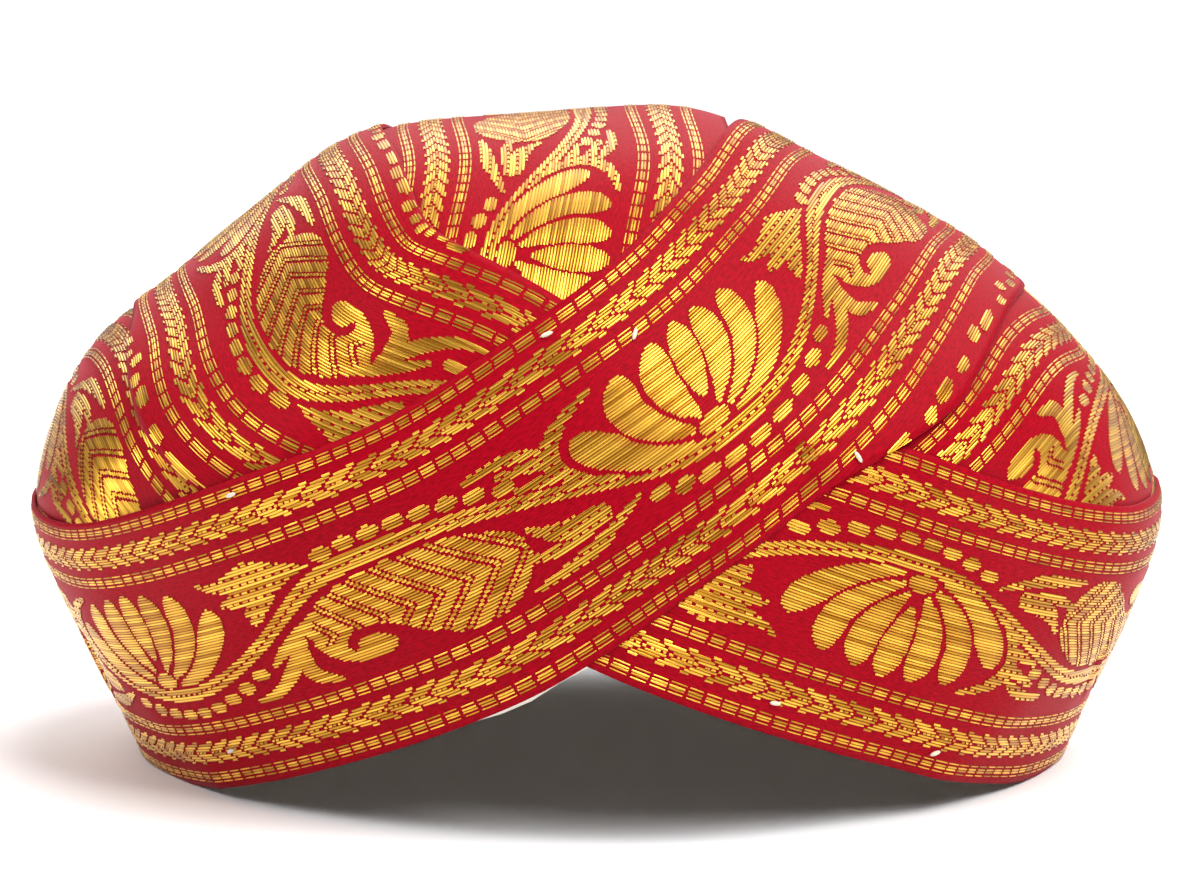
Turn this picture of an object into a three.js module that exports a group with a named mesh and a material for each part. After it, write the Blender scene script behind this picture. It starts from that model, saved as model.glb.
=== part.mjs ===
// A ready-tied pagri: silk ribbon brocaded in gold, laid in five courses over a thin stiff cap.
// Millimetres, +Z up. The front looks towards -Y and +X is on the viewer's right.
// The origin is on the table, under the middle of the cap at its widest.
// Bearings go round the head: 0 is the front, 90 the +X side, 180 the back, 270 the -X side.
import * as THREE from "three";
import { mergeVertices } from "three/addons/utils/BufferGeometryUtils.js";

// The cap under the ribbons: a low dome that leans a little forward.
const CAP_HALF_WIDTH = 108.8;
const CAP_HALF_LENGTH = 108.1;
const CAP_DOME_HEIGHT = 79;
const WIDEST_HEIGHT = 49;
const FORWARD_LEAN = 0.2;
const CAP_WALL = 1.6;
const CAP_INSET = 0.25;

// The ribbon and how it is laid.
const RIBBON_WIDTH = 60;
const SIDE_WIDTH = 67;
const CROWN_WIDTH = 72;
const CLOTH = 1.0;
const GAP = 0.55;
const LAYER = CLOTH + GAP;
const TOP_CLEARANCE = 0.2;
// Past the edge of a ribbon below, the cloth above stays up for a shelf and then falls.
const EDGE_SHELF = 7;
const EDGE_FALL = 30;
// How sharply the flat courses meet each other over the cap, and how far each stands out from it.
const CREASE_SHARPNESS = 36;
const STAND_OUT = { crown: 1.015, left: 1.016, right: 1.011, under: 1.003, over: 0.976 };
// The cap's shoulders at the two sides are lower than a ball's would be.
const SHOULDER = { drop: 0.07, rise: 35.2, spread: 13.4 };
// Cut cloth left outside the woven border on the lower edge of both wraps, between these distances.
const SPARE_CLOTH = {
  under: { width: 5, from: 5, to: 110, ramp: 38 },
  over: { width: 8, from: 205, to: 440, ramp: 35 },
};
// The raised corner of the outer ribbon on the crown, a small lip.
const LIP = { bearing: 62, height: 1.6, reach: 16 };

// Mesh spacing.
const PATH_SAMPLES = 180;
const WRAP_STATIONS = 72;
const RIBBON_ROWS = 10;
const CROWN_ROWS = 12;
const CROWN_STATIONS = 28;
const SIDE_STATIONS = 21;
const CAP_BEARINGS = 48;
const CAP_ROWS = 11;

// Each course's middle line, seen from the centre of the cap, in degrees.
const OVER_PATH = [
  { bearing: 270, rise: -16.9 },
  { bearing: 300, rise: -16.5 },
  { bearing: 325, rise: -8.4 },
  { bearing: 345, rise: 3 },
  { bearing: 0, rise: 16.2 },
  { bearing: 15, rise: 29.7 },
  { bearing: 35, rise: 46.1 },
  { bearing: 60, rise: 56.3 },
  { bearing: 90, rise: 57.9 },
  { bearing: 120, rise: 54 },
  { bearing: 150, rise: 37 },
  { bearing: 180, rise: 7 },
  { bearing: 210, rise: -12.5 },
  { bearing: 240, rise: -16.7 },
];
const UNDER_PATH = [
  { bearing: 270, rise: 50 },
  { bearing: 300, rise: 46.2 },
  { bearing: 325, rise: 31.5 },
  { bearing: 345, rise: 23.2 },
  { bearing: 0, rise: 12.5 },
  { bearing: 15, rise: 4.1 },
  { bearing: 35, rise: -6.1 },
  { bearing: 60, rise: -14.3 },
  { bearing: 90, rise: -16 },
  { bearing: 120, rise: -16.2 },
  { bearing: 150, rise: -12.5 },
  { bearing: 180, rise: 3 },
  { bearing: 210, rise: 30 },
  { bearing: 240, rise: 45.5 },
];
const LEFT_PATH = [
  { bearing: 226, rise: -8.1 },
  { bearing: 245, rise: 5.4 },
  { bearing: 262, rise: 9.2 },
  { bearing: 280, rise: 13.4 },
  { bearing: 297, rise: 9.5 },
  { bearing: 318, rise: -8 },
];
const RIGHT_PATH = [
  { bearing: 35, rise: -3 },
  { bearing: 60, rise: 12.8 },
  { bearing: 80, rise: 14.6 },
  { bearing: 98, rise: 17 },
  { bearing: 115, rise: 5.8 },
  { bearing: 134, rise: -11.5 },
];
const CROWN_PATH = [
  { bearing: 350.5, rise: 14 },
  { bearing: 351.5, rise: 32 },
  { bearing: 352, rise: 50 },
  { bearing: 350, rise: 68 },
  { bearing: 270, rise: 85 },
  { bearing: 192, rise: 68 },
  { bearing: 187, rise: 50 },
  { bearing: 184, rise: 32 },
  { bearing: 184, rise: 15 },
];
// The cap's lower edge: arched at the front and a little at the back, hidden behind the ribbons.
const CAP_RIM = [
  { bearing: 0, height: 34 },
  { bearing: 10, height: 28 },
  { bearing: 20, height: 21.5 },
  { bearing: 40, height: 11 },
  { bearing: 60, height: 5 },
  { bearing: 90, height: 3 },
  { bearing: 135, height: 3 },
  { bearing: 150, height: 4.5 },
  { bearing: 160, height: 8 },
  { bearing: 170, height: 14 },
  { bearing: 182, height: 23 },
  { bearing: 190, height: 17 },
  { bearing: 200, height: 9 },
  { bearing: 215, height: 3.5 },
  { bearing: 270, height: 3 },
  { bearing: 295, height: 3.5 },
  { bearing: 315, height: 7.5 },
  { bearing: 330, height: 13.5 },
  { bearing: 342, height: 18.3 },
  { bearing: 350, height: 24 },
  { bearing: 355, height: 29 },
];

const CENTRE = new THREE.Vector3(-0.85, -0.9, WIDEST_HEIGHT);
const radians = THREE.MathUtils.degToRad;

function headed(bearing, rise) {
  const b = radians(bearing);
  const r = radians(rise);
  return new THREE.Vector3(Math.sin(b) * Math.cos(r), -Math.cos(b) * Math.cos(r), Math.sin(r));
}

// The cap as a unit ball squashed to its three sizes and leant forward, and the way back.
function fromBall(q) {
  const z = q.z * CAP_DOME_HEIGHT;
  return new THREE.Vector3(q.x * CAP_HALF_WIDTH, q.y * CAP_HALF_LENGTH - FORWARD_LEAN * z, z).add(CENTRE);
}

function toBall(point) {
  const v = point.clone().sub(CENTRE);
  const y = (v.y + FORWARD_LEAN * v.z) / CAP_HALF_LENGTH;
  return new THREE.Vector3(v.x / CAP_HALF_WIDTH, y, v.z / CAP_DOME_HEIGHT);
}

function outwardAt(q) {
  const lean = (FORWARD_LEAN * q.y) / CAP_HALF_LENGTH;
  return new THREE.Vector3(
    q.x / CAP_HALF_WIDTH,
    q.y / CAP_HALF_LENGTH,
    q.z / CAP_DOME_HEIGHT + lean,
  ).normalize();
}

// How much wider than the ribbon the lower edge is at this distance.
function spareAt(spare, length, distance) {
  if (!spare) return 0;
  const middle = (spare.from + spare.to) / 2;
  const half = (spare.to - spare.from) / 2;
  const away = Math.abs(((((distance - middle) % length) + 1.5 * length) % length) - length / 2);
  return spare.width * (1 - THREE.MathUtils.smoothstep(away, half - spare.ramp, half));
}

// A course: its middle line in even steps, with the direction along and across the ribbon.
function layCourse(name, path, width, closed) {
  const corners = path.map((row) => headed(row.bearing, row.rise));
  const curve = new THREE.CatmullRomCurve3(corners, closed, "catmullrom", 0.5);
  const fine = [];
  const fineCount = PATH_SAMPLES * 4;
  for (let i = 0; i <= fineCount; i += 1) {
    fine.push(fromBall(curve.getPoint(i / fineCount).normalize()));
  }
  const reached = [0];
  for (let i = 1; i <= fineCount; i += 1) {
    reached.push(reached[i - 1] + fine[i].distanceTo(fine[i - 1]));
  }
  const length = reached[fineCount];
  const course = { width, closed, length, standOut: STAND_OUT[name], samples: [] };
  course.at = (distance) => {
    const wanted = closed ? ((distance % length) + length) % length : distance;
    let i = 1;
    while (i < fineCount && reached[i] < wanted) i += 1;
    const share = (wanted - reached[i - 1]) / (reached[i] - reached[i - 1]);
    return fine[i - 1].clone().lerp(fine[i], share);
  };
  course.frameAt = (distance) => {
    const point = course.at(distance);
    const ball = toBall(point).normalize();
    const step = 1.5;
    const from = closed ? distance - step : Math.max(distance - step, 0);
    const to = closed ? distance + step : Math.min(distance + step, length);
    const along = course.at(to).sub(course.at(from)).normalize();
    const across = outwardAt(ball).cross(along).normalize();
    return { point, ball, along, across, spare: spareAt(SPARE_CLOTH[name], length, distance) };
  };
  for (let i = 0; i < PATH_SAMPLES; i += 1) {
    const share = closed ? i / PATH_SAMPLES : i / (PATH_SAMPLES - 1);
    course.samples.push(course.frameAt(share * length));
  }
  return course;
}

const crown = layCourse("crown", CROWN_PATH, CROWN_WIDTH, false);
const left = layCourse("left", LEFT_PATH, SIDE_WIDTH, false);
const right = layCourse("right", RIGHT_PATH, SIDE_WIDTH, false);
const under = layCourse("under", UNDER_PATH, RIBBON_WIDTH, true);
const over = layCourse("over", OVER_PATH, RIBBON_WIDTH, true);
const courses = [crown, left, right, under, over];

function nearestOf(course, direction) {
  let best = -2;
  let found = null;
  for (const sample of course.samples) {
    const closeness = sample.ball.dot(direction);
    if (closeness > best) {
      best = closeness;
      found = sample;
    }
  }
  return { sample: found, closeness: best };
}

function shoulderAt(direction) {
  const sideways = direction.x ** 2 / Math.max(direction.x ** 2 + direction.y ** 2, 1e-9);
  const rise = THREE.MathUtils.radToDeg(Math.asin(THREE.MathUtils.clamp(direction.z, -1, 1)));
  return 1 - SHOULDER.drop * sideways * Math.exp(-(((rise - SHOULDER.rise) / SHOULDER.spread) ** 2));
}

// The form stands just inside every flat that touches the ball along a course.
function formAt(direction) {
  let sum = 0;
  const pull = new THREE.Vector3();
  for (const course of courses) {
    const { sample, closeness } = nearestOf(course, direction);
    if (closeness <= 0) continue;
    const share = closeness / course.standOut;
    sum += share ** CREASE_SHARPNESS;
    pull.addScaledVector(sample.ball, share ** (CREASE_SHARPNESS - 1));
  }
  const reach = sum ** (-1 / CREASE_SHARPNESS) * shoulderAt(direction);
  const point = fromBall(direction.clone().multiplyScalar(reach));
  return { point, outward: outwardAt(pull.normalize()) };
}

// How far a course lifts what lies over it at this place: 1 on it, 0 well away from it.
function liftOf(course, direction, point) {
  const { sample } = nearestOf(course, direction);
  const offset = point.clone().sub(sample.point);
  const across = offset.dot(sample.across);
  const sideways = Math.max(across, -across - sample.spare) - course.width / 2;
  let past = sideways;
  if (!course.closed) {
    const first = course.samples[0];
    const last = course.samples[PATH_SAMPLES - 1];
    const end = sample === first ? -offset.dot(sample.along) : sample === last ? offset.dot(sample.along) : -1;
    past = Math.max(sideways, end);
  }
  return 1 - THREE.MathUtils.smoothstep(past, EDGE_SHELF, EDGE_SHELF + EDGE_FALL);
}

function liftOfAny(below, direction, point) {
  return below.reduce((most, course) => Math.max(most, liftOf(course, direction, point)), 0);
}

// A point over the cap in this direction, at a height square to its surface.
function placeAt(direction, heightOf) {
  const { point, outward } = formAt(direction);
  const ray = point.clone().sub(CENTRE).normalize();
  const height = heightOf(point);
  const placed = point.addScaledVector(ray, height / ray.dot(outward));
  placed.z = Math.max(placed.z, 0);
  return placed;
}

function lipAt(course, frame, across) {
  if (course !== over) return 0;
  const away = frame.point.distanceTo(fromBall(headed(LIP.bearing, 57))) / LIP.reach;
  const edge = THREE.MathUtils.smoothstep(across / course.width, 0.28, 0.5);
  return LIP.height * edge * Math.exp(-away * away);
}

// A ribbon point: distance along, distance across, and side 0 underneath or 1 on top.
function ribbonPoint(course, layers, distance, across, side) {
  const frame = course.frameAt(distance);
  const spare = across < 0 ? 1 + (2 * frame.spare) / course.width : 1;
  const flat = frame.point.clone().addScaledVector(frame.across, across * spare);
  const direction = toBall(flat).normalize();
  return placeAt(direction, (point) => {
    let height = GAP + side * CLOTH + lipAt(course, frame, across);
    if (course === over) height += TOP_CLEARANCE;
    for (const below of layers) height += LAYER * liftOfAny(below, direction, point);
    return height;
  });
}

function reshaped(geometry, move) {
  geometry.deleteAttribute("normal");
  geometry.deleteAttribute("uv");
  const whole = mergeVertices(geometry, 1e-4);
  const position = whole.getAttribute("position");
  const from = new THREE.Vector3();
  for (let i = 0; i < position.count; i += 1) {
    from.fromBufferAttribute(position, i);
    const to = move(from);
    position.setXYZ(i, to.x, to.y, to.z);
  }
  whole.computeVertexNormals();
  return whole;
}

// An open ribbon is a thin box bent over the form.
function openRibbon(course, layers, stations, rows) {
  const box = new THREE.BoxGeometry(1, 1, 1, stations, rows, 1);
  return reshaped(box, (v) =>
    ribbonPoint(course, layers, (v.x + 0.5) * course.length, v.y * course.width, v.z + 0.5),
  );
}

// A closed wrap is a thin band turned once round the axis and then bent over the form.
function closedWrap(course, layers, stations, rows) {
  const profile = [];
  for (let i = 0; i <= rows; i += 1) profile.push(new THREE.Vector2(3, i / rows - 0.5));
  for (let i = rows; i >= 0; i -= 1) profile.push(new THREE.Vector2(2, i / rows - 0.5));
  profile.push(profile[0].clone());
  const band = new THREE.LatheGeometry(profile, stations);
  return reshaped(band, (v) => {
    const turn = Math.atan2(v.x, v.z) / (2 * Math.PI);
    const side = Math.hypot(v.x, v.z) - 2;
    return ribbonPoint(course, layers, turn * course.length, v.y * course.width, side);
  });
}

function rimHeight(bearing) {
  const rows = CAP_RIM.length;
  let i = rows - 1;
  while (i > 0 && CAP_RIM[i].bearing > bearing) i -= 1;
  const start = CAP_RIM[i];
  const end = CAP_RIM[(i + 1) % rows];
  const span = (end.bearing - start.bearing + 360) % 360;
  const share = THREE.MathUtils.smoothstep((bearing - start.bearing + 360) % 360, 0, span);
  return start.height + (end.height - start.height) * share;
}

// The direction whose point on the cap stands at the rim's height on this bearing.
function rimRise(bearing) {
  const wanted = rimHeight(bearing);
  let low = -60;
  let high = 40;
  for (let i = 0; i < 24; i += 1) {
    const middle = (low + high) / 2;
    if (formAt(headed(bearing, middle)).point.z < wanted) low = middle;
    else high = middle;
  }
  return high;
}

// The cap is a turned shell, open below, bent to the same form.
function capShell() {
  const rises = new Map();
  const profile = [];
  for (let i = 0; i <= CAP_ROWS; i += 1) {
    const angle = (i / CAP_ROWS) * (Math.PI / 2);
    profile.push(new THREE.Vector2(2 * Math.sin(angle), 2 * Math.cos(angle)));
  }
  for (let i = CAP_ROWS; i >= 0; i -= 1) {
    const angle = (i / CAP_ROWS) * (Math.PI / 2);
    profile.push(new THREE.Vector2(3 * Math.sin(angle), 3 * Math.cos(angle)));
  }
  profile[0].x = 0;
  profile[profile.length - 1].x = 0;
  const shell = new THREE.LatheGeometry(profile, CAP_BEARINGS);
  return reshaped(shell, (v) => {
    const side = v.length() - 3;
    const share = Math.acos(THREE.MathUtils.clamp(v.y / v.length(), -1, 1)) / (Math.PI / 2);
    const bearing = (THREE.MathUtils.radToDeg(Math.atan2(v.x, v.z)) + 360) % 360;
    const key = bearing.toFixed(2);
    if (!rises.has(key)) rises.set(key, rimRise(bearing));
    const rise = 90 - share * (90 - rises.get(key));
    return placeAt(headed(bearing, rise), () => side * CAP_WALL - CAP_INSET);
  });
}

const silk = new THREE.MeshStandardMaterial({ color: 0xa30d1c, roughness: 0.5, metalness: 0.1 });
const lining = new THREE.MeshStandardMaterial({ color: 0xece8e0, roughness: 0.9, metalness: 0 });

function named(name, geometry, material) {
  const mesh = new THREE.Mesh(geometry, material);
  mesh.name = name;
  return mesh;
}

const pagri = new THREE.Group();
const firstLayer = [crown, left, right];
pagri.add(named("lining_cap", capShell(), lining));
pagri.add(named("crown_ribbon", openRibbon(crown, [], CROWN_STATIONS, CROWN_ROWS), silk));
pagri.add(named("left_side_ribbon", openRibbon(left, [], SIDE_STATIONS, RIBBON_ROWS), silk));
pagri.add(named("right_side_ribbon", openRibbon(right, [], SIDE_STATIONS, RIBBON_ROWS), silk));
pagri.add(named("under_wrap", closedWrap(under, [firstLayer], WRAP_STATIONS, RIBBON_ROWS), silk));
pagri.add(named("over_wrap", closedWrap(over, [firstLayer, [under]], WRAP_STATIONS, RIBBON_ROWS), silk));

export default pagri;
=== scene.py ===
import math

import bpy
import numpy as np
from mathutils import Matrix, Vector


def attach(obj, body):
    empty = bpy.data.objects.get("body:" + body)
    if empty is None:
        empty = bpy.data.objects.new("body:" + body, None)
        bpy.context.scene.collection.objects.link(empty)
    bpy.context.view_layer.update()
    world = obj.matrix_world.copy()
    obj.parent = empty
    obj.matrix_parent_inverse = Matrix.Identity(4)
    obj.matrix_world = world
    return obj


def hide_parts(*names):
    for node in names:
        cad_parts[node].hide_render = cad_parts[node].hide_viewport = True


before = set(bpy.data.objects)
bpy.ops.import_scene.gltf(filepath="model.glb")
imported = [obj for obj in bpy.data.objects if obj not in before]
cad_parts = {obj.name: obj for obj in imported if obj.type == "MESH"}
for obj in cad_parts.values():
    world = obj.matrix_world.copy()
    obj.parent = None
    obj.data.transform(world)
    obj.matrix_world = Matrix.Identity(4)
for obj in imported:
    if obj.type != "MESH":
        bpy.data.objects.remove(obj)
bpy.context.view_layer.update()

# Sizes are in millimetres until a mesh is made. Bearings go round the head from the front, 90 at +X.
MM = 0.001

# The form under the ribbons, the same as in the CAD. STAND_OUT is how far each ribbon stands out from it.
CAP_HALF_WIDTH = 108.8
CAP_HALF_LENGTH = 108.1
CAP_DOME_HEIGHT = 79.0
WIDEST_HEIGHT = 49.0
FORWARD_LEAN = 0.2
CENTRE = np.array([-0.85, -0.9, WIDEST_HEIGHT])
CREASE_SHARPNESS = 36
STAND_OUT = {"crown": 1.015, "left": 1.016, "right": 1.011, "under": 1.003, "over": 0.976}
SHOULDER_DROP, SHOULDER_RISE, SHOULDER_SPREAD = 0.07, 35.2, 13.4
CAP_WALL = 1.6
CAP_INSET = 0.25

RIBBON_WIDTH = 60.0
SIDE_WIDTH = 67.0
CROWN_WIDTH = 72.0
CLOTH = 0.8
GAP = 0.3
LAYER = CLOTH + GAP
EDGE_SHELF = 4.0
EDGE_FALL = 16.0
LIP_BEARING, LIP_RISE, LIP_HEIGHT, LIP_REACH, LIP_START = 62.0, 57.0, 1.8, 16.0, 0.28
# Cut cloth left outside the border of the wraps: side, width, from, to and ramp.
SPARE_CLOTH = {
    "under": [(-1, 5.0, 5, 110, 38), (1, 3.2, -80, 120, 40)],
    "over": [(-1, 8.0, 205, 440, 35)],
}

# How finely a ribbon's middle line is followed, and how finely its cloth is made.
PATH_STEPS = 90
POINT_SPACING = 1.0
HEADING_STEP = 1.5
CLOTH_SPACING = 1.5
BATCH = 8000
# The form's unevenness, the scale of the cloth's UV map, and the height that no gold goes below.
SWELL_WIDE, SWELL_FINE = 0.32, 0.13
UV_PER_MM = 0.01
LOWEST_GOLD = 0.02

# Each course's middle line: bearing and rise from the middle of the cap, in degrees.
OVER_PATH = [
    (270, -16.9), (300, -16.5), (325, -8.4), (345, 3), (360, 16.2), (375, 29.7), (395, 46.1),
    (420, 56.3), (450, 57.9), (480, 54), (510, 37), (540, 7), (570, -12.5), (600, -16.7),
]
UNDER_PATH = [
    (270, 50), (300, 46.2), (325, 31.5), (345, 23.2), (360, 12.5), (375, 4.1), (395, -6.1),
    (420, -14.3), (450, -16), (480, -16.2), (510, -12.5), (540, 3), (570, 30), (600, 45.5),
]
LEFT_PATH = [(226, -8.1), (245, 5.4), (262, 9.2), (280, 13.4), (297, 9.5), (318, -8)]
RIGHT_PATH = [(35, -3), (60, 12.8), (80, 14.6), (98, 17), (115, 5.8), (134, -11.5)]
CROWN_PATH = [
    (350.5, 14), (351.5, 32), (352, 50), (350, 68), (270, 85), (192, 68), (187, 50), (184, 32), (184, 15),
]
# The cap's lower edge: bearing and height. It shows as a thin white line left of the front arch's top.
CAP_RIM = [
    (0, 36.5), (3, 34), (6, 31), (10, 27.5), (20, 21.5), (40, 11), (60, 5), (90, 3), (135, 3), (150, 4.5),
    (160, 8), (170, 14), (182, 23), (190, 17), (200, 9), (215, 3.5), (270, 3), (295, 3.5), (315, 7.5),
    (330, 13.5), (342, 19.5), (346, 21.4), (351, 24.2), (355, 28), (358, 31.8), (360, 36.5),
]


def unit(v):
    return v / np.linalg.norm(v, axis=-1, keepdims=True)


def headed(bearing, rise):
    b, r = np.radians(bearing), np.radians(rise)
    return np.stack([np.sin(b) * np.cos(r), -np.cos(b) * np.cos(r), np.sin(r)], -1)


def from_ball(q):
    z = q[..., 2] * CAP_DOME_HEIGHT
    y = q[..., 1] * CAP_HALF_LENGTH - FORWARD_LEAN * z
    return np.stack([q[..., 0] * CAP_HALF_WIDTH, y, z], -1) + CENTRE


def to_ball(point):
    v = point - CENTRE
    y = (v[..., 1] + FORWARD_LEAN * v[..., 2]) / CAP_HALF_LENGTH
    return np.stack([v[..., 0] / CAP_HALF_WIDTH, y, v[..., 2] / CAP_DOME_HEIGHT], -1)


def outward_at(q):
    lean = FORWARD_LEAN * q[..., 1] / CAP_HALF_LENGTH
    n = [q[..., 0] / CAP_HALF_WIDTH, q[..., 1] / CAP_HALF_LENGTH, q[..., 2] / CAP_DOME_HEIGHT + lean]
    return unit(np.stack(n, -1))


def smooth(x, low, high):
    t = np.clip((x - low) / (high - low), 0, 1)
    return t * t * (3 - 2 * t)


def through(rows, closed, count):
    """An even Catmull-Rom curve through the rows, count steps to each."""
    p = np.array(rows, float)
    if closed:
        p = np.vstack([p[-1:], p, p[:2]])
    else:
        p = np.vstack([2 * p[0] - p[1], p, 2 * p[-1] - p[-2]])
    t = np.linspace(0, 1, count, endpoint=False)[:, None]
    out = []
    for a, b, c, d in zip(p[:-3], p[1:-2], p[2:-1], p[3:]):
        squared = 2 * a - 5 * b + 4 * c - d
        cubed = 3 * b - a - 3 * c + d
        out.append(0.5 * (2 * b + (c - a) * t + squared * t**2 + cubed * t**3))
    if not closed:
        out.append(p[-2:-1])
    return np.vstack(out)


class Course:
    """A ribbon's middle line, with the direction along and across it."""

    def __init__(self, name, path, width, closed):
        self.name, self.width, self.closed = name, width, closed
        rows = np.array(path, float)
        ball = unit(through(headed(rows[:, 0], rows[:, 1]), closed, PATH_STEPS))
        if closed:
            ball = np.vstack([ball, ball[:1]])
        self.line = from_ball(ball)
        step = np.linalg.norm(np.diff(self.line, axis=0), axis=1)
        self.reached = np.concatenate([[0], np.cumsum(step)])
        self.length = float(self.reached[-1])
        count = int(self.length / POINT_SPACING)
        share = np.arange(count) / (count if closed else count - 1)
        self.points, self.along, self.across, self.balls = self.frame(share * self.length)
        self.spares = {side: self.spare(share * self.length, side) for side in (-1, 1)}

    def at(self, s):
        """Points of the middle line, s along it."""
        s = np.mod(s, self.length) if self.closed else np.clip(s, 0, self.length)
        return np.stack([np.interp(s, self.reached, self.line[:, k]) for k in range(3)], -1)

    def frame(self, s):
        """Points, directions along and across, and the same points on the ball."""
        s = np.asarray(s, float)
        point = self.at(s)
        ball = unit(to_ball(point))
        along = unit(self.at(s + HEADING_STEP) - self.at(s - HEADING_STEP))
        across = unit(np.cross(outward_at(ball), along))
        return point, along, across, ball

    def spare(self, s, side):
        """How much wider than the ribbon the cloth is on this side."""
        total = np.zeros(np.shape(s))
        for row_side, width, start, stop, ramp in SPARE_CLOTH.get(self.name, []):
            if row_side == side:
                middle, half = (start + stop) / 2, (stop - start) / 2
                away = np.abs(np.mod(s - middle + self.length / 2, self.length) - self.length / 2)
                total = total + width * (1 - smooth(away, half - ramp, half))
        return total

    def nearest(self, direction):
        """Which point of the middle line lies nearest to each direction, and the cosine between them."""
        k = np.empty(len(direction), int)
        m = np.empty(len(direction))
        for i in range(0, len(direction), BATCH):
            dots = direction[i : i + BATCH] @ self.balls.T
            k[i : i + BATCH] = dots.argmax(1)
            m[i : i + BATCH] = dots.max(1)
        return k, m

    def lift(self, k, point):
        """1 on this ribbon and 0 well away from it."""
        away = point - self.points[k]
        across = (away * self.across[k]).sum(-1)
        past = np.maximum(across - self.spares[1][k], -across - self.spares[-1][k]) - self.width / 2
        if not self.closed:
            ahead = (away * self.along[k]).sum(-1)
            end = np.where(k == 0, -ahead, np.where(k == len(self.points) - 1, ahead, -1.0))
            past = np.maximum(past, end)
        return 1 - smooth(past, EDGE_SHELF, EDGE_SHELF + EDGE_FALL)


crown = Course("crown", CROWN_PATH, CROWN_WIDTH, False)
left = Course("left", LEFT_PATH, SIDE_WIDTH, False)
right = Course("right", RIGHT_PATH, SIDE_WIDTH, False)
under = Course("under", UNDER_PATH, RIBBON_WIDTH, True)
over = Course("over", OVER_PATH, RIBBON_WIDTH, True)
COURSES = [crown, left, right, under, over]
FIRST = [crown, left, right]


def soft_swell(point):
    """The slight unevenness of a form that was stuffed and wound by hand."""
    x, y, z = (point[..., k] for k in range(3))
    wide = np.sin(x / 11.0 + 0.7) * np.sin(y / 13.0 + z / 17.0)
    fine = np.sin(x / 6.3 - z / 7.1 + 1.9) * np.sin(y / 7.7 + 0.4)
    return SWELL_WIDE * wide + SWELL_FINE * fine


def shoulder(direction):
    """The cap's shoulders at the two sides are lower than a ball's would be."""
    x, y, z = (direction[:, k] for k in range(3))
    sideways = x**2 / np.maximum(x**2 + y**2, 1e-9)
    rise = np.degrees(np.arcsin(np.clip(z, -1, 1)))
    return 1 - SHOULDER_DROP * sideways * np.exp(-(((rise - SHOULDER_RISE) / SHOULDER_SPREAD) ** 2))


def place(direction, layers, height):
    """Points over the form in these directions, at a height above the layers that lie below."""
    total = np.zeros(len(direction))
    pull = np.zeros((len(direction), 3))
    near = {}
    for course in COURSES:
        k, m = course.nearest(direction)
        near[id(course)] = k
        m = np.maximum(m, 1e-6) / STAND_OUT[course.name]
        total += m**CREASE_SHARPNESS
        pull += course.balls[k] * (m ** (CREASE_SHARPNESS - 1))[:, None]
    point = from_ball(direction * (total ** (-1 / CREASE_SHARPNESS) * shoulder(direction))[:, None])
    outward = outward_at(unit(pull))
    rise = height + soft_swell(point)
    for group in layers:
        rise = rise + LAYER * np.max([c.lift(near[id(c)], point) for c in group], axis=0)
    ray = unit(point - CENTRE)
    point = point + ray * (rise / (ray * outward).sum(-1))[:, None]
    point[:, 2] = np.maximum(point[:, 2], 0.0)
    return point


def lip_at(course, point, across):
    """How far one edge of the over wrap lifts off the form, near one spot at the upper right."""
    if course is not over:
        return np.zeros(len(point))
    corner = from_ball(headed(LIP_BEARING, LIP_RISE))
    away = np.linalg.norm(point - corner, axis=-1) / LIP_REACH
    return LIP_HEIGHT * smooth(across / course.width, LIP_START, 0.5) * np.exp(-away * away)


def laid(course, layers, s, t, side):
    """Points of a ribbon: s along, t across, side 0 underneath and 1 on top."""
    point, _, across, _ = course.frame(s)
    flat = point + across * t[:, None]
    height = GAP + CLOTH * side + lip_at(course, point, t)
    return place(unit(to_ball(flat)), layers, height)


# Mesh building

def mesh_object(name, verts, faces, uv=None, tone=None):
    """One smooth object from points in millimetres, with a UV map or a tone for each point."""
    mesh = bpy.data.meshes.new(name)
    faces = np.asarray(faces, np.int32)
    n = faces.shape[1]
    mesh.vertices.add(len(verts))
    mesh.vertices.foreach_set("co", (np.asarray(verts) * MM).astype(np.float32).ravel())
    mesh.loops.add(faces.size)
    mesh.loops.foreach_set("vertex_index", faces.ravel())
    mesh.polygons.add(len(faces))
    mesh.polygons.foreach_set("loop_start", np.arange(0, faces.size, n, dtype=np.int32))
    mesh.update(calc_edges=True)
    mesh.polygons.foreach_set("use_smooth", np.full(len(faces), True))
    if uv is not None:
        layer = mesh.uv_layers.new(name="cloth")
        layer.data.foreach_set("uv", np.asarray(uv, np.float32)[faces.ravel()].ravel())
    if tone is not None:
        tones = mesh.attributes.new("tone", "FLOAT", "POINT")
        tones.data.foreach_set("value", np.asarray(tone, np.float32))
    mesh.validate()
    obj = bpy.data.objects.new(name, mesh)
    bpy.context.scene.collection.objects.link(obj)
    return obj


def grid_faces(rows, cols, start, wrap, flip):
    """Quads of a rows by cols grid of points, rows wrapping round if asked."""
    i = np.arange(rows if wrap else rows - 1)[:, None]
    j = np.arange(cols - 1)[None, :]
    a = start + i * cols + j
    b = start + ((i + 1) % rows) * cols + j
    quad = np.stack([a, b, b + 1, a + 1], -1).reshape(-1, 4)
    return quad[:, ::-1] if flip else quad


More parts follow.
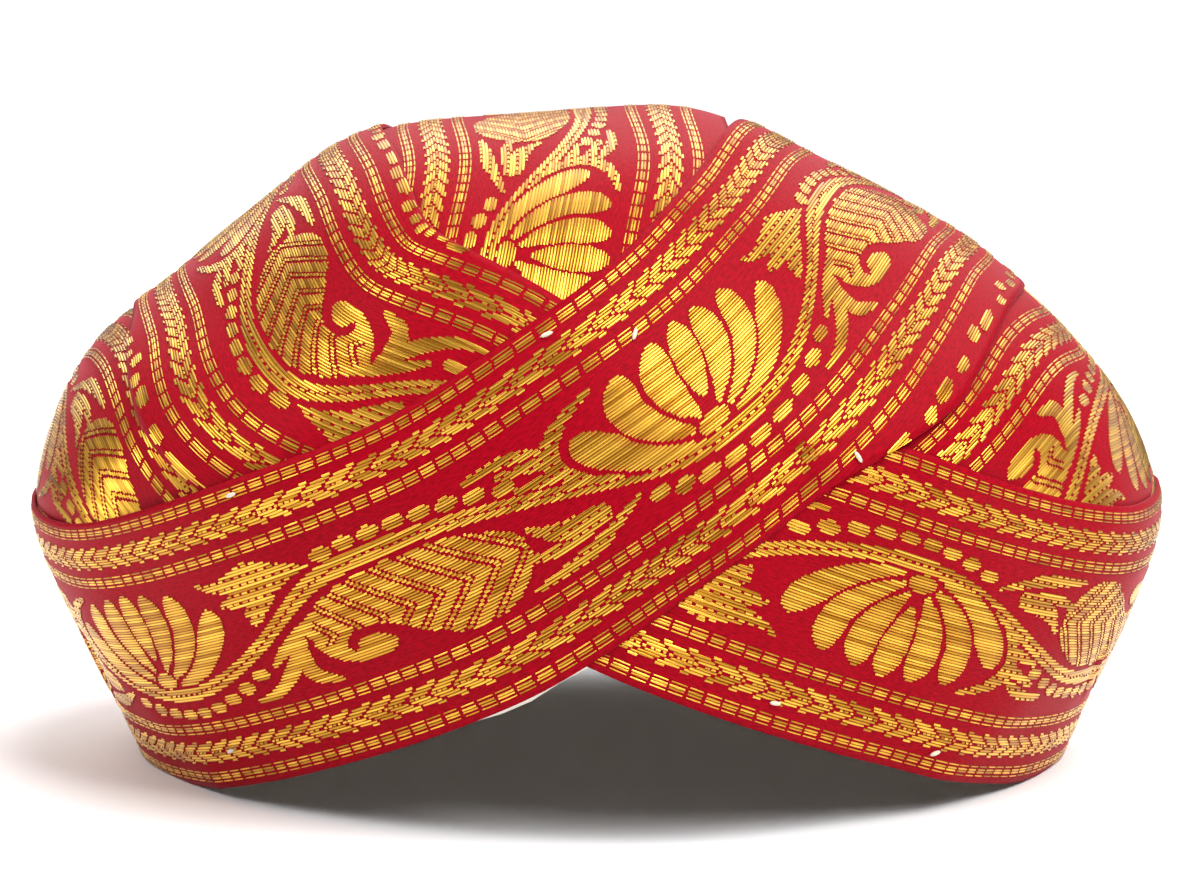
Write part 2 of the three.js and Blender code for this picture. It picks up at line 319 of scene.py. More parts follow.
class Ribbon:
    """A ribbon laid over the form as a thin closed sheet, and its outer surface for what is woven on it."""

    def __init__(self, name, course, layers):
        self.course = course
        self.ns = int(round(course.length / CLOTH_SPACING)) + (0 if course.closed else 1)
        self.nt = int(round(course.width / CLOTH_SPACING)) + 1
        last = self.ns if course.closed else self.ns - 1
        self.s = np.arange(self.ns) * course.length / last
        self.t = np.linspace(-course.width / 2, course.width / 2, self.nt)
        s, t = (g.ravel() for g in np.meshgrid(self.s, self.t, indexing="ij"))
        t = t * self.stretch(s, t)
        top = laid(course, layers, s, t, 1.0)
        bottom = laid(course, layers, s, t, 0.0)
        grid = top.reshape(self.ns, self.nt, 3)
        if course.closed:
            ds = np.roll(grid, -1, 0) - np.roll(grid, 1, 0)
        else:
            ds = np.gradient(grid, axis=0)
        dt = np.gradient(grid, axis=1)
        self.grid, self.normal = grid, unit(np.cross(ds, dt))
        count = self.ns * self.nt
        wrap = course.closed
        faces = [grid_faces(self.ns, self.nt, 0, wrap, False)]
        faces.append(grid_faces(self.ns, self.nt, count, wrap, True))
        ring = np.arange(self.ns)
        after = (ring + 1) % self.ns
        if not wrap:
            ring, after = ring[:-1], after[:-1]
        low, high = ring * self.nt, ring * self.nt + self.nt - 1
        low2, high2 = after * self.nt, after * self.nt + self.nt - 1
        faces.append(np.stack([low, low + count, low2 + count, low2], -1))
        faces.append(np.stack([high, high2, high2 + count, high + count], -1))
        if not wrap:
            j = np.arange(self.nt - 1)
            end = (self.ns - 1) * self.nt
            faces.append(np.stack([j, j + 1, j + 1 + count, j + count], -1))
            faces.append(np.stack([end + j + 1, end + j, end + j + count, end + j + 1 + count], -1))
        uv = np.stack([s, t], -1) * UV_PER_MM
        verts = np.vstack([top, bottom])
        self.object = mesh_object(name, verts, np.vstack(faces), uv=np.vstack([uv, uv]))

    def stretch(self, s, t):
        """Each half of the grid reaches out to the spare cloth on its side."""
        spare = np.where(t < 0, self.course.spare(s, -1), self.course.spare(s, 1))
        return 1 + 2 * spare / self.course.width

    def surface(self, s, t):
        """Points and normals of the outer surface at s, t."""
        t = t / self.stretch(s, t)
        step = self.s[1] - self.s[0]
        s = np.mod(s, self.course.length) if self.course.closed else np.clip(s, 0, self.s[-1] - 1e-6)
        a = s / step
        b = (np.clip(t, self.t[0], self.t[-1] - 1e-6) - self.t[0]) / (self.t[1] - self.t[0])
        i, j = np.floor(a).astype(int), np.floor(b).astype(int)
        fa, fb = (a - i)[:, None], (b - j)[:, None]
        i %= self.ns
        k = (i + 1) % self.ns
        out = []
        for g in (self.grid, self.normal):
            low = g[i, j] * (1 - fa) + g[k, j] * fa
            high = g[i, j + 1] * (1 - fa) + g[k, j + 1] * fa
            out.append(low * (1 - fb) + high * fb)
        return out[0], unit(out[1])


# The woven repeat, charted. U runs along the ribbon from a lotus, V across it from the middle.
REPEAT = 138.5
THREAD = 0.56
FIELD_HALF = 15.0
PETAL_GAP = 0.62
SEAM = 0.7
# The charted pattern is read off every CHART_STEP, and shorter floats than SHORTEST_RUN are left out.
CHART_STEP = 0.2
SHORTEST_RUN = 0.5
# The braid in each border: its middle, half width, the step from leaf to leaf, slant and the red between.
BRAID_MIDDLE, BRAID_HALF = 21.9, 2.35
BRAID_STEP, BRAID_SLANT, BRAID_GAP = 5.3, 4.6, 0.95
# The cords beside each braid: their middles, the dashes in a repeat and a dash's length. Each cord has
# four threads: how far off its middle, and how wide.
CORD_MIDDLES = (-27.4, -16.6, 16.6, 27.4)
DASHES, DASH_LENGTH = 36, 3.15
CORD_THREADS = ((-1.0, 0.34), (-0.26, 0.5), (0.26, 0.5), (1.0, 0.34))

# Brush strokes: rows of U, V and half width.
STROKES = {
    "petal_outer": [
        (5.4, -6.8, 0.6), (10, -5.8, 1.3), (15.3, -3.4, 2.3),
        (19.8, -0.2, 3.0), (23.6, 2.9, 3.1), (25.2, 4.6, 2.5),
    ],
    "petal_second": [
        (4.2, -4.8, 0.6), (7.3, -3.3, 1.4), (11.2, -0.4, 2.3),
        (14.6, 3.6, 3.1), (15.6, 7.4, 3.4), (15.2, 9.6, 2.2),
    ],
    "petal_third": [
        (2.2, -3.4, 0.6), (3.6, -1.4, 1.3), (5.1, 0.7, 2.3),
        (6.8, 4.8, 3.4), (7.3, 8.2, 3.5), (6.8, 10.6, 2.3),
    ],
    "petal_middle": [(0, -0.6, 0.7), (0, 2.8, 2.3), (0, 6.4, 3.2), (0, 9.6, 3.0), (0, 11.6, 1.9)],
    "bud_lobe": [(97, -2.9, 0.7), (100.5, -5.6, 1.5), (105.5, -7.2, 2.0), (111, -7.7, 1.8)],
    "bud_lobe_low": [(94.5, -7.8, 0.6), (98.5, -8.8, 1.0), (103, -9.2, 1.0), (107, -9.0, 0.8)],
    "bud_stem": [
        (92.6, -13.5, 0.6), (98, -13, 1.1), (105, -12.5, 1.4), (111, -11.2, 1.1), (119, -8.7, 0.5),
    ],
    "branch_leaf": [(90.8, 10.9, 0.5), (96, 11.1, 1.0), (102, 10, 1.1), (106.2, 8.2, 0.6)],
    "branch": [
        (118.6, 12.6, 0.4), (113, 11, 1.1), (108.4, 8.2, 1.7),
        (107.2, 4.6, 1.9), (109, 1.2, 1.4), (113.6, -2.6, 0.4),
    ],
    "branch_low": [(99, 4.3, 0.6), (103.5, 3.5, 1.0), (108, 2.2, 1.0)],
    "branch_mid": [(97, 8.4, 0.5), (101, 7.6, 1.0), (106, 6.2, 1.2)],
    "sprig_strip": [(34.5, -7.2, 0.5), (39, -4.9, 1.2), (44.5, -2.4, 1.3), (48.5, -0.6, 0.7)],
    "sprig_leaf": [
        (25.8, -13.4, 0.6), (30.5, -13, 1.0), (35.5, -10.9, 1.4), (40.4, -7.6, 1.7), (44.2, -4.6, 1.0),
    ],
    "sprig_foot": [(43.2, -6.4, 1.4), (42.4, -9.2, 2.0), (43.8, -11.6, 1.6), (49, -13.6, 0.4)],
}
PETALS = ("petal_outer", "petal_second", "petal_third", "petal_middle")
DOTTED = ("bud_lobe", "bud_lobe_low", "bud_stem", "branch_leaf", "branch", "branch_low", "branch_mid")
LEAF = [
    (25.2, 12.4), (31.2, 11.7), (35.8, 12.7), (40.8, 14.0), (45.2, 13.0), (49.2, 11.4), (52.8, 10.2),
    (54.6, 9.4), (50.2, 8.4), (45.2, 6.6), (42.4, 4.7), (39.2, 2.7), (36.8, 1.0), (35.2, 1.7), (34.8, 4.2),
    (36.4, 5.4), (32.8, 5.7), (29.2, 6.7), (31.2, 8.0), (33.8, 8.7), (30.2, 9.7), (27.2, 10.7),
]
PAISLEY = [
    (45.0, -2.0), (47.3, -0.2), (51.8, 2.1), (56.8, 3.7), (62.8, 4.5), (68.8, 4.9), (75.8, 4.7), (81.8, 4.0),
    (86.8, 2.6), (90.8, 0.8), (94.3, -1.6), (95.8, -3.8), (96.0, -5.6), (94.8, -8.0), (92.6, -10.5),
    (89.8, -12.5), (85.8, -13.8), (81.8, -14.2), (77.8, -13.5), (73.8, -11.8), (69.8, -9.5), (66.2, -7.2),
    (63.8, -6.0), (60.8, -5.4), (56.8, -5.6), (54.3, -6.5), (53.4, -7.8), (54.4, -9.2), (56.0, -9.0),
    (55.8, -7.7), (58.8, -7.1), (62.4, -7.6), (64.6, -9.2), (64.2, -10.7), (62.0, -11.6), (58.8, -11.9),
    (54.8, -11.6), (51.2, -10.4), (48.2, -8.5), (46.0, -5.5),
]
# Beads along the stem: from, to, step, and how far off the stem. A bead's half length and half height.
BEADS = [(-15, 31, 5.6, -4.2), (58, 99, 5.6, 3.5)]
BEAD_SIZE = (2.45, 1.3)
# The heart under the petals: its middle, its gold oval and the red ring around it.
HEART = (0, -5.7)
HEART_SIZE = (3.5, 1.8)
HEART_RING = (4.2, 2.5)
# The stem waves around a middle V, by a swing, from a starting U, with a hump: height, middle and reach.
STEM_V, STEM_SWING, STEM_START = -1.05, 8.15, 4
HUMP_HEIGHT, HUMP_MIDDLE, HUMP_REACH = 2.0, 53, 13
# The stem's half height, and how much more it has along the paisley: by how much, where, and how far.
STEM_HALF = 1.35
STEM_BUMP, BUMP_MIDDLE, BUMP_REACH = 0.5, 58, 16
# The middle of the one repeat that the stem is drawn for, and the red line in it: half height and step.
STEM_MIDDLE = 54
STEM_LINE, STEM_LINE_STEP = 0.28, 2.0
# The red dots: their step, the red share of it, and the threads from one row of dots to the next.
DOT_STEP, DOT_SHARE, DOT_ROWS = 2.2, 0.36, 3
# The red lines across the paisley: their step, the broad one, and the fine one's start and stop.
HATCH_STEP = 6.2
HATCH_BROAD = 0.9
HATCH_FINE = (1.9, 2.5)
# Where they bend, how much they lean above and below it, and the curled tip that they leave out.
HATCH_KNEE, LEAN_ABOVE, LEAN_BELOW = -5, 1.15, 1.3
TIP_END, TIP_TOP = 67, -6.4


def vine(u):
    """V of the waving stem's middle."""
    wave = STEM_V - STEM_SWING * np.cos(2 * np.pi * (u - STEM_START) / REPEAT)
    return wave + HUMP_HEIGHT * np.exp(-(((u - HUMP_MIDDLE) / HUMP_REACH) ** 2))


def inside(poly, u, v):
    """True inside a closed outline."""
    p = np.array(poly, float)
    hit = np.zeros(u.shape, bool)
    for (x0, y0), (x1, y1) in zip(p, np.roll(p, -1, 0)):
        if y0 == y1:
            continue
        cross = ((v > y0) != (v > y1)) & (u < (x1 - x0) * (v - y0) / (y1 - y0) + x0)
        hit ^= cross
    return hit


def oval(middle, size, u, v):
    """True inside an oval of these half sizes."""
    return ((u - middle[0]) / size[0]) ** 2 + ((v - middle[1]) / size[1]) ** 2 < 1


def stroke(rows, u, v):
    """True inside a brush stroke that swells and narrows along a curve."""
    p = through(rows, False, 8)
    hit = np.zeros(u.shape, bool)
    for a, b in zip(p[:-1], p[1:]):
        d = b[:2] - a[:2]
        length = max(float(d @ d), 1e-9)
        f = np.clip(((u - a[0]) * d[0] + (v - a[1]) * d[1]) / length, 0, 1)
        away = np.hypot(u - a[0] - f * d[0], v - a[1] - f * d[1])
        hit |= away < a[2] + f * (b[2] - a[2])
    return hit


def dotted(u, v):
    """True on the red dots that lie on every third thread, each row half a step on."""
    row = np.round(v / THREAD)
    phase = np.mod(u / DOT_STEP + 0.5 * np.mod(row / DOT_ROWS, 2), 1)
    return (phase < DOT_SHARE) & (np.mod(row, DOT_ROWS) == 0)


def stem_mask(u, v):
    """The waving stem, thicker along the paisley, with a dashed red line down its middle."""
    away = np.abs(v - vine(u))
    thick = STEM_HALF + STEM_BUMP * np.exp(-(((u - BUMP_MIDDLE) / BUMP_REACH) ** 2))
    line = (away < STEM_LINE) & (np.mod(u / STEM_LINE_STEP, 1) < 0.5)
    return (away < thick) & ~line & (np.abs(u - STEM_MIDDLE) < REPEAT / 2)


def paisley_mask(u, v):
    """The paisley with pairs of bent red lines, a broad one and a fine one. Its curled tip stays plain."""
    bend = np.where(v > HATCH_KNEE, LEAN_ABOVE, LEAN_BELOW) * np.abs(v - HATCH_KNEE)
    phase = np.mod(u + bend - 1.0, HATCH_STEP)
    hatch = (phase < HATCH_BROAD) | ((phase > HATCH_FINE[0]) & (phase < HATCH_FINE[1]))
    return inside(PAISLEY, u, v) & ~(hatch & ((u > TIP_END) | (v > TIP_TOP)))


def field_mask(u, v):
    """True where gold floats over the red ground, for one repeat of the middle field."""
    gold = np.zeros(u.shape, bool)
    for shift in (-REPEAT, 0, REPEAT):
        x = u - shift
        dots = dotted(x, v)
        for name in PETALS:
            gold &= ~stroke([(a, b, c + PETAL_GAP) for a, b, c in STROKES[name]], np.abs(x), v)
            gold |= stroke(STROKES[name], np.abs(x), v)
        gold &= ~oval(HEART, HEART_RING, x, v)
        gold |= oval(HEART, HEART_SIZE, x, v)
        gold |= stem_mask(x, v)
        for start, stop, step, off in BEADS:
            for c in np.arange(start, stop, step):
                gold |= oval((c, vine(c) + off), BEAD_SIZE, x, v)
        gold |= paisley_mask(x, v)
        gold |= inside(LEAF, x, v) & ~dots
        for name, rows in STROKES.items():
            if name in PETALS:
                continue
            shape = stroke(rows, x, v)
            gold |= (shape & ~dots) if name in DOTTED else shape
    return gold


def braid_mask(u, v):
    """A chain of leaves pointing to -U, each tucked under the next, with a dotted middle line."""
    w = np.abs(v) / BRAID_HALF
    phase = np.mod(u - BRAID_SLANT * w, BRAID_STEP)
    edge = BRAID_HALF * (0.9 + 0.1 * np.sin(2 * np.pi * (u - 1.5) / BRAID_STEP))
    between = (phase < BRAID_GAP) & (w < 0.9)
    middle = (w < 0.12) & (np.mod(u / 1.3, 1) < 0.3)
    return (np.abs(v) < edge) & ~between & ~middle


def woven_rows():
    """Each row of thread: its V, its width, and the U of the chart with True where it is gold."""
    u = np.arange(0, REPEAT, CHART_STEP)
    rows = []
    for v in np.arange(-FIELD_HALF + 0.25, FIELD_HALF, THREAD):
        rows.append((v, THREAD, u, field_mask(u, np.full(u.shape, v))))
    for middle in (-BRAID_MIDDLE, BRAID_MIDDLE):
        for v in np.arange(0.1 - BRAID_HALF, BRAID_HALF - 0.05, THREAD):
            rows.append((middle + v, THREAD, u, braid_mask(u, np.full(u.shape, v))))
    for middle in CORD_MIDDLES:
        for off, width in CORD_THREADS:
            rows.append((middle + off, width, u, np.mod(u, REPEAT / DASHES) < DASH_LENGTH))
    return rows


def runs_of(u, mask):
    """Start and end of each gold stretch round the repeat."""
    step = u[1] - u[0]
    change = np.flatnonzero(mask != np.roll(mask, 1))
    if not len(change):
        return [(0.0, REPEAT)] if mask[0] else []
    out = []
    starts = [c for c in change if mask[c]]
    for c in starts:
        later = [d for d in change if not mask[d] and d > c]
        end = later[0] if later else [d for d in change if not mask[d]][0] + len(u)
        out.append((c * step, end * step))
    return out


RUNS = []
for v, width, u, mask in woven_rows():
    RUNS.append((v, width, [r for r in runs_of(u, mask) if r[1] - r[0] > SHORTEST_RUN]))
# A gold float is a strip in segments of this length or less, narrower at its ends, and least so where
# it is one segment long. Its edges lie on the cloth and its middle bows up from it.
SEGMENT = 2.6
HALF_STRIP = 0.47
END_SHARE, SHORT_END_SHARE = 0.75, 0.92
EDGE_LIFT, FLAT_LIFT, BOW_LIFT = 0.02, 0.05, 0.22
END_SCATTER = 0.09
# The scraps on the spare cloth keep off its ends, and lie between the border and its edge.
SCRAP_MARGIN = 6
SCRAP_START = 30.2
SCRAP_REACH = 0.62


def spare_strips(course, rng):
    """Scraps of the next motif that were left on the spare cloth when it was cut."""
    out = []
    for side, width, start, stop, _ in SPARE_CLOTH.get(course.name, []):
        at = start + SCRAP_MARGIN
        while at < stop - SCRAP_MARGIN:
            half_long, half_high = rng.uniform(1.6, 3.6), rng.uniform(1.0, 1.9)
            middle = SCRAP_START + SCRAP_REACH * width * rng.uniform(0.6, 1.1)
            for row in np.arange(middle - half_high, middle + half_high, THREAD):
                reach = half_long * math.sqrt(max(0.0, 1 - ((row - middle) / half_high) ** 2))
                edge = course.width / 2 + float(course.spare(np.array(at), side))
                if reach > 0.4 and row < edge - 0.3:
                    out.append((at - reach, at + reach * rng.uniform(0.7, 1.1), side * row, THREAD))
            at += half_long * 2 + rng.uniform(0.8, 3.6)
    return out


def laid_runs(phases, turned):
    """The charted floats repeated along a ribbon: rows of from, to, T and width."""
    sign = -1.0 if turned else 1.0
    strips = []
    for low, high, start in phases:
        first = math.floor((low - start) / REPEAT) - 1
        last = math.ceil((high - start) / REPEAT) + 1
        for v, width, runs in RUNS:
            for a, b in runs:
                for k in range(first, last + 1):
                    ends = sorted((start + sign * a + k * REPEAT, start + sign * b + k * REPEAT))
                    if low <= sum(ends) / 2 < high:
                        kept = (max(ends[0], low + SEAM), min(ends[1], high - SEAM))
                        strips.append((*kept, sign * v, width))
    return strips


def weave(ribbon, name, phases, turned, shear, seed):
    """Gold floats over a ribbon. Phases: from, to and where a lotus lies. Turned: laid the other way up."""
    rng = np.random.default_rng(seed)
    verts, faces, tones = [], [], []
    count = 0
    strips = np.array(laid_runs(phases, turned) + spare_strips(ribbon.course, rng))
    strips[:, :2] += rng.normal(0, END_SCATTER, (len(strips), 2))
    tone = rng.random(len(strips))
    segments = np.maximum(1, np.ceil((strips[:, 1] - strips[:, 0]) / SEGMENT)).astype(int)
    for n in np.unique(segments):
        pick = strips[segments == n]
        f = np.linspace(0, 1, n + 1)
        s = pick[:, :1] + (pick[:, 1:2] - pick[:, :1]) * f
        t = np.repeat(pick[:, 2:3], n + 1, 1)
        half = np.repeat(pick[:, 3:4], n + 1, 1) * HALF_STRIP
        ends = np.where((f == 0) | (f == 1), SHORT_END_SHARE if n == 1 else END_SHARE, 1.0)[None, :]
        bow = np.repeat(ends, len(pick), 0)
        side = np.stack([-half * bow, np.zeros_like(half), half * bow], -1)
        edge = np.full(bow.shape, EDGE_LIFT)
        lift = np.stack([edge, FLAT_LIFT + BOW_LIFT * bow, edge], -1)
        ss = np.repeat(s[..., None], 3, -1)
        tt = t[..., None] + side
        if shear is not None:
            ss = ss + shear(ss) * tt
        p, normal = ribbon.surface(ss.ravel(), tt.ravel())
        p = p + normal * lift.ravel()[:, None]
        p[:, 2] = np.maximum(p[:, 2], LOWEST_GOLD)
        verts.append(p)
        tones.append(np.repeat(tone[segments == n], 3 * (n + 1)))
        base = count + np.arange(len(pick))[:, None, None] * 3 * (n + 1)
        j = np.arange(n)[None, :, None] * 3
        k = np.arange(2)[None, None, :]
        a = base + j + k
        faces.append(np.stack([a, a + 3, a + 4, a + 1], -1).reshape(-1, 4))
        count += len(pick) * 3 * (n + 1)
    return mesh_object(name, np.vstack(verts), np.vstack(faces), tone=np.concatenate(tones))


STITCH_LENGTH = 2.6
STITCH_THICKNESS = 0.9
# The white basting stitches that show on the front: s, t and the angle to the ribbon in degrees.
STITCHES = {
    "over": [(187, 26, -12), (202, 16, 35), (216, -29, 80), (112, 27, 0), (75, -22, 8)],
    "under": [(153, -24, 0), (191, -24, 10), (233, -25, 30)],
}


def stitch_object(ribbon, name, spots):
    """Short thick stitches, each a stretched ball lying on the ribbon, joined."""
    made = []
    for s, t, angle in spots:
        point, normal = ribbon.surface(np.array([float(s)]), np.array([float(t)]))
        normal = normal[0]
        along = ribbon.course.frame(np.array([float(s)]))[1][0]
        side = unit(np.cross(normal, along))
        along = np.cross(side, normal)
        a = math.radians(angle)
        reach, wide = along * math.cos(a) + side * math.sin(a), side * math.cos(a) - along * math.sin(a)
        bpy.ops.object.select_all(action="DESELECT")
        bpy.ops.mesh.primitive_uv_sphere_add(segments=8, ring_count=6, radius=1.0)
        columns = [reach * STITCH_LENGTH / 2, wide * STITCH_THICKNESS / 2, normal * STITCH_THICKNESS / 2]
        turn = np.eye(4)
        turn[:3, :3] = np.stack(columns, 1) * MM
        turn[:3, 3] = (point[0] + normal * STITCH_THICKNESS * 0.4) * MM
        bpy.context.object.matrix_world = Matrix(turn.tolist())
        made.append(bpy.context.object)
    bpy.ops.object.select_all(action="DESELECT")
    for ball in made:
        ball.select_set(True)
    bpy.context.view_layer.objects.active = made[0]
    bpy.ops.object.join()
    bpy.ops.object.transform_apply(location=True, rotation=True, scale=True)
    bpy.ops.object.shade_smooth()
    made[0].name = made[0].data.name = name
    return made[0]


# Materials

# The silk's fine rib: how often it repeats along and across, how strong it looks and how deep, in metres.
RIB_SCALE = (60, 300, 1)
RIB_STRENGTH, RIB_DEPTH = 0.25, 0.0002


def material(name, colour, roughness, metallic=0.0):
    """A plain material, with its shader for what is added to it."""
    made = bpy.data.materials.new(name)
    made.use_nodes = True
    shader = made.node_tree.nodes["Principled BSDF"]
    shader.inputs["Base Color"].default_value = (*colour, 1)
    shader.inputs["Roughness"].default_value = roughness
    shader.inputs["Metallic"].default_value = metallic
    return made, shader


def colour_ramp(tree, low, high):
    """A ramp between two stops, each a place and a colour."""
    ramp = tree.nodes.new("ShaderNodeValToRGB")
    for stop, (place_at, colour) in zip(ramp.color_ramp.elements, (low, high)):
        stop.position = place_at
        stop.color = (*colour, 1)
    return ramp


def silk_material():
    """Red silk with a sheen, and a fine rib that follows the cloth."""
    made, shader = material("red_silk", (0.36, 0.0, 0.012), 0.55)
    tree = made.node_tree
    shader.inputs["Sheen Weight"].default_value = 0.3
    shader.inputs["Sheen Roughness"].default_value = 0.22
    shader.inputs["Sheen Tint"].default_value = (1.0, 0.35, 0.42, 1)
    shader.inputs["Specular IOR Level"].default_value = 0.05
    uv = tree.nodes.new("ShaderNodeUVMap")
    uv.uv_map = "cloth"
    scale = tree.nodes.new("ShaderNodeMapping")
    scale.inputs["Scale"].default_value = RIB_SCALE
    noise = tree.nodes.new("ShaderNodeTexNoise")
    noise.inputs["Scale"].default_value = 1.0
    noise.inputs["Detail"].default_value = 3.0
    bump = tree.nodes.new("ShaderNodeBump")
    bump.inputs["Strength"].default_value = RIB_STRENGTH
    bump.inputs["Distance"].default_value = RIB_DEPTH
    ramp = colour_ramp(tree, (0.3, (0.2, 0.0, 0.004)), (0.75, (0.39, 0.0, 0.011)))
    link = tree.links.new
    link(uv.outputs["UV"], scale.inputs["Vector"])
    link(scale.outputs["Vector"], noise.inputs["Vector"])
    link(noise.outputs["Fac"], ramp.inputs["Fac"])
    link(ramp.outputs["Color"], shader.inputs["Base Color"])
    link(noise.outputs["Fac"], bump.inputs["Height"])
    link(bump.outputs["Normal"], shader.inputs["Normal"])
    return made


def gold_material():
    """Gold thread, darker or lighter from float to float."""
    made, shader = material("gold_thread", (0.8, 0.5, 0.09), 0.3, 0.9)
    tree = made.node_tree
    tone = tree.nodes.new("ShaderNodeAttribute")
    tone.attribute_name = "tone"
    ramp = colour_ramp(tree, (0.0, (0.4, 0.17, 0.01)), (1.0, (0.95, 0.56, 0.07)))
    tree.links.new(tone.outputs["Fac"], ramp.inputs["Fac"])
    tree.links.new(ramp.outputs["Color"], shader.inputs["Base Color"])
    return made


SILK = silk_material()
GOLD = gold_material()
STITCH, _ = material("stitch_thread", (0.66, 0.58, 0.46), 0.7)
COVER, _ = material("red_facing", (0.2, 0.0, 0.002), 0.7)
# The lining is white cloth. Its colour is dimmed and warmed as painted shade, so that the shade inside the
# cap, under the front arch, looks brown.
LINING_PAINTED_SHADE, _ = material("white_lining", (0.75, 0.7, 0.62), 0.9)


# The cap

CAP_BEARING_STEP = 3.0
CAP_ROWS = 46
# The top row's share of the way down from the crown to the rim.
TOP_ROW = 0.02
# The rim is looked for between these rises.
LOWEST_RISE, HIGHEST_RISE = -60.0, 40.0
HALVINGS = 22
# How far above the rim the red facing starts.
FACING_STARTS = 7.0


def rim_height(bearing):
    """The height of the cap's lower edge at a bearing."""
    return np.interp(bearing, [r[0] for r in CAP_RIM], [r[1] for r in CAP_RIM])


def cap_object():
    """The dome with its wall. Each bearing's rise at the rim is found by halving."""
    bearings = np.arange(0, 360, CAP_BEARING_STEP)
    rims = rim_height(bearings)
    rims = (np.roll(rims, 1) + rims * 2 + np.roll(rims, -1)) / 4
    low, high = np.full(len(bearings), LOWEST_RISE), np.full(len(bearings), HIGHEST_RISE)
    for _ in range(HALVINGS):
        mid = (low + high) / 2
        z = place(headed(bearings, mid), [], -CAP_INSET * np.ones(len(bearings)))[:, 2]
        low, high = np.where(z < rims, mid, low), np.where(z < rims, high, mid)
    rows = CAP_ROWS
    share = np.linspace(TOP_ROW, 1, rows)
    rise = 90 - share[None, :] * (90 - high[:, None])
    d = headed(np.repeat(bearings[:, None], rows, 1), rise).reshape(-1, 3)
    outer = place(d, [], -CAP_INSET * np.ones(len(d)))
    inner = place(d, [], -(CAP_INSET + CAP_WALL) * np.ones(len(d)))
    count = len(d)
    n = len(bearings)
    faces = [grid_faces(n, rows, 0, True, True), grid_faces(n, rows, count, True, False)]
    ring = np.arange(n)
    after = (ring + 1) % n
    a, b = ring * rows + rows - 1, after * rows + rows - 1
    faces.append(np.stack([a, a + count, b + count, b], -1))
    verts = np.vstack([outer, inner])
    tops = np.array([outer[::rows].mean(0), inner[::rows].mean(0)])
    verts = np.vstack([verts, tops])
    here, there = ring * rows, after * rows
    fans = np.concatenate([
        np.stack([np.full(n, 2 * count), here, there], -1),
        np.stack([np.full(n, 2 * count + 1), there + count, here + count], -1),
    ])
    mesh = bpy.data.meshes.new("lining")
    mesh.from_pydata((verts * MM).tolist(), [], np.vstack(faces).tolist() + fans.tolist())
    mesh.polygons.foreach_set("use_smooth", np.full(len(mesh.polygons), True))
    mesh.update()
    obj = bpy.data.objects.new("lining", mesh)
    bpy.context.scene.collection.objects.link(obj)
    return obj


def face_with_red(cap):
    """The cap's outside is red up from the rim, so that the slits between ribbons show no white."""
    for made in (LINING_PAINTED_SHADE, COVER):
        cap.data.materials.append(made)
    for face in cap.data.polygons:
        middle = np.array(face.center) / MM - CENTRE
        bearing = math.degrees(math.atan2(middle[0], -middle[1])) % 360
        covered = face.center[2] / MM > rim_height(bearing) + FACING_STARTS
        outward = float(np.dot(middle, face.normal)) > 0
        face.material_index = 1 if outward and covered else 0


lining = cap_object()
face_with_red(lining)


# The ribbons and what is woven on them

ribbons = {
    "crown": Ribbon("crown_silk", crown, []),
    "left": Ribbon("left_silk", left, []),
    "right": Ribbon("right_silk", right, []),
    "under": Ribbon("under_silk", under, [FIRST]),
    "over": Ribbon("over_silk", over, [FIRST, [under]]),
}


# The pattern of the over wrap leans by this much: it sets in and fades out between these places.
SHEAR = 0.38
SHEAR_IN, SHEAR_OUT = (165, 205), (265, 320)
# The wraps' seams are at the crossing below this height.
SEAM_BELOW = 60.0


def over_shear(s):
    """The pattern of the over wrap leans where the ribbon is pulled across the front."""
    return SHEAR * smooth(s, *SHEAR_IN) * (1 - smooth(s, *SHEAR_OUT))


def back_seam(course):
    """Where the cloth of a wrap starts and ends: its hindmost low point, at the back crossing."""
    hindmost = np.argmax(course.line[:, 1] * (course.line[:, 2] < SEAM_BELOW))
    return float(course.reached[hindmost])


UNDER_SEAM = back_seam(under)
OVER_SEAM = back_seam(over)
# The pattern of the under wrap starts afresh here, hidden below the over wrap.
UNDER_BREAK = 140
WOVEN = {
    "crown": ([(0, crown.length, 47)], True, None),
    "left": ([(0, left.length, 93)], True, None),
    "right": ([(0, right.length, 90)], True, None),
    "under": ([(UNDER_SEAM - under.length, UNDER_BREAK, 139), (UNDER_BREAK, UNDER_SEAM, 211)], True, None),
    "over": ([(OVER_SEAM - over.length, OVER_SEAM, 204.7)], False, over_shear),
}
golds = {}
for seed, (key, (phases, turned, shear)) in enumerate(WOVEN.items()):
    golds[key] = weave(ribbons[key], key + "_gold", phases, turned, shear, seed)

NODES = {
    "crown": "crown_ribbon", "left": "left_side_ribbon", "right": "right_side_ribbon",
    "under": "under_wrap", "over": "over_wrap",
}
for key, ribbon in ribbons.items():
    ribbon.object.data.materials.append(SILK)
    golds[key].data.materials.append(GOLD)
    for piece in (ribbon.object, golds[key]):
        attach(piece, "root")
        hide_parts(NODES[key])
for key, spots in STITCHES.items():
    piece = stitch_object(ribbons[key], key + "_stitches", spots)
    piece.data.materials.append(STITCH)
    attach(piece, "root")
    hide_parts(NODES[key])
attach(lining, "root")
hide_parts("lining_cap")


# The table, the light and the camera

FLOOR_SIZE = 12
WORLD_STRENGTH = 0.22
SUN_STRENGTH = 3.9
SUN_SPREAD = math.radians(50)
SUN_DIRECTION = Vector((-0.5, 0.3, -1.1))
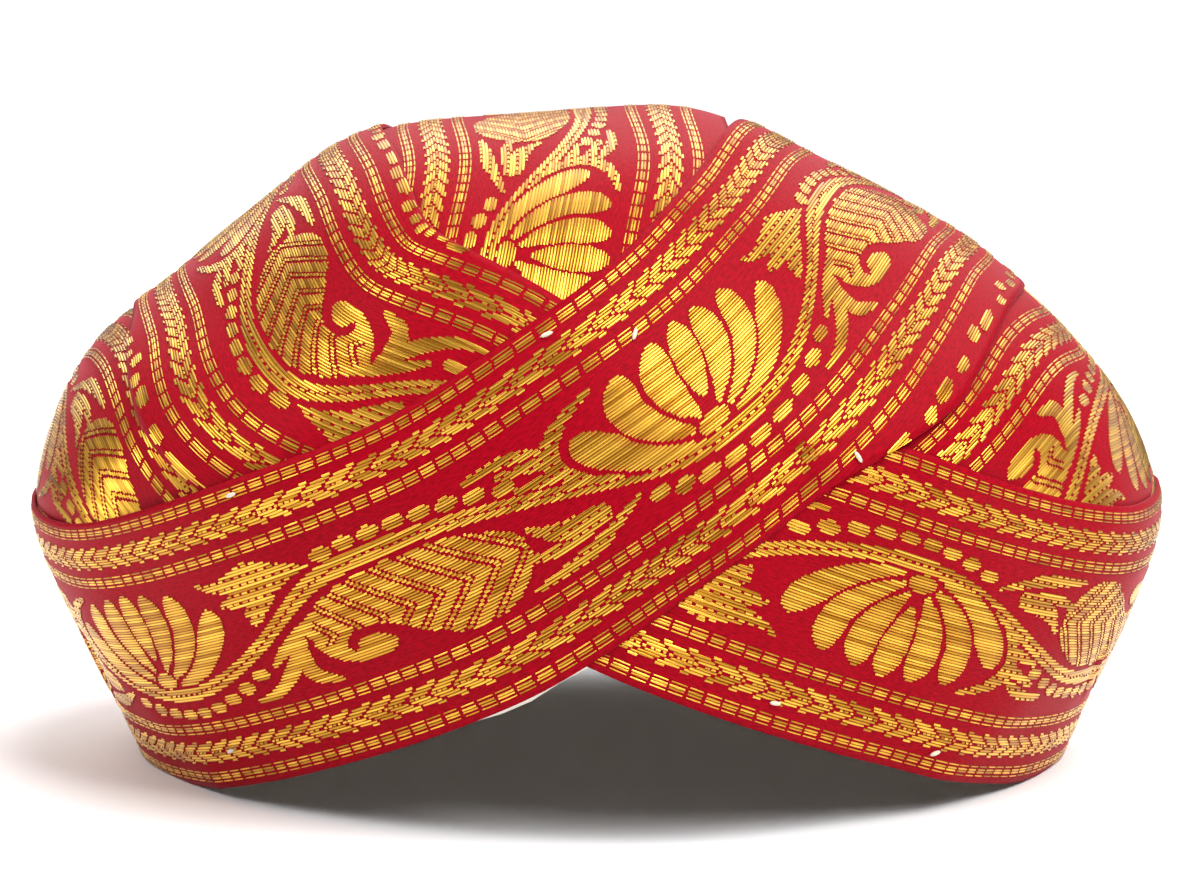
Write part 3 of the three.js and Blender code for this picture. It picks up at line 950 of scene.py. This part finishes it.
# Softboxes: name, place, what it is aimed at, size and watts.
SOFTBOXES = [
    ("key", (0.5, -1.0, 0.8), (0, 0, 0.06), (0.3, 0.4), 5.5),
    ("side", (-0.95, -0.15, 0.75), (0, 0, 0.06), (0.4, 0.6), 6),
    ("back", (0.1, 0.85, 0.8), (0, 0, 0.08), (1.7, 0.9), 12),
]


def area_light(name, place_at, aim, size, power):
    light = bpy.data.lights.new(name, "AREA")
    light.shape = "RECTANGLE"
    light.size, light.size_y = size
    light.energy = power
    obj = bpy.data.objects.new(name, light)
    obj.location = place_at
    obj.rotation_euler = (Vector(aim) - Vector(place_at)).to_track_quat("-Z", "Y").to_euler()
    bpy.context.scene.collection.objects.link(obj)


bpy.ops.mesh.primitive_plane_add(size=FLOOR_SIZE, location=(0, 0, 0))
floor = bpy.context.object
floor.name = "floor"
FLOOR, _ = material("pale_table", (0.9, 0.89, 0.9), 0.8)
floor.data.materials.append(FLOOR)

world = bpy.data.worlds.new("studio")
bpy.context.scene.world = world
world.use_nodes = True
world.node_tree.nodes["Background"].inputs["Color"].default_value = (1, 1, 1, 1)
world.node_tree.nodes["Background"].inputs["Strength"].default_value = WORLD_STRENGTH

sun = bpy.data.lights.new("sun", "SUN")
sun.energy = SUN_STRENGTH
sun.angle = SUN_SPREAD
sun_object = bpy.data.objects.new("sun", sun)
sun_object.rotation_euler = SUN_DIRECTION.to_track_quat("-Z", "Y").to_euler()
bpy.context.scene.collection.objects.link(sun_object)
for row in SOFTBOXES:
    area_light(*row)

ELEVATION = math.radians(7.0)
DISTANCE = 1.2
AIM = Vector((0, 0, 0.0615))
camera_data = bpy.data.cameras.new("camera")
camera_data.sensor_width = 36
camera_data.lens = 180
camera = bpy.data.objects.new("camera", camera_data)
camera.location = AIM + Vector((0, -math.cos(ELEVATION), math.sin(ELEVATION))) * DISTANCE
camera.rotation_euler = (AIM - camera.location).to_track_quat("-Z", "Y").to_euler()
bpy.context.scene.collection.objects.link(camera)
scene = bpy.context.scene
scene.camera = camera
scene.view_settings.view_transform = "Standard"
scene.view_settings.exposure = 0.0
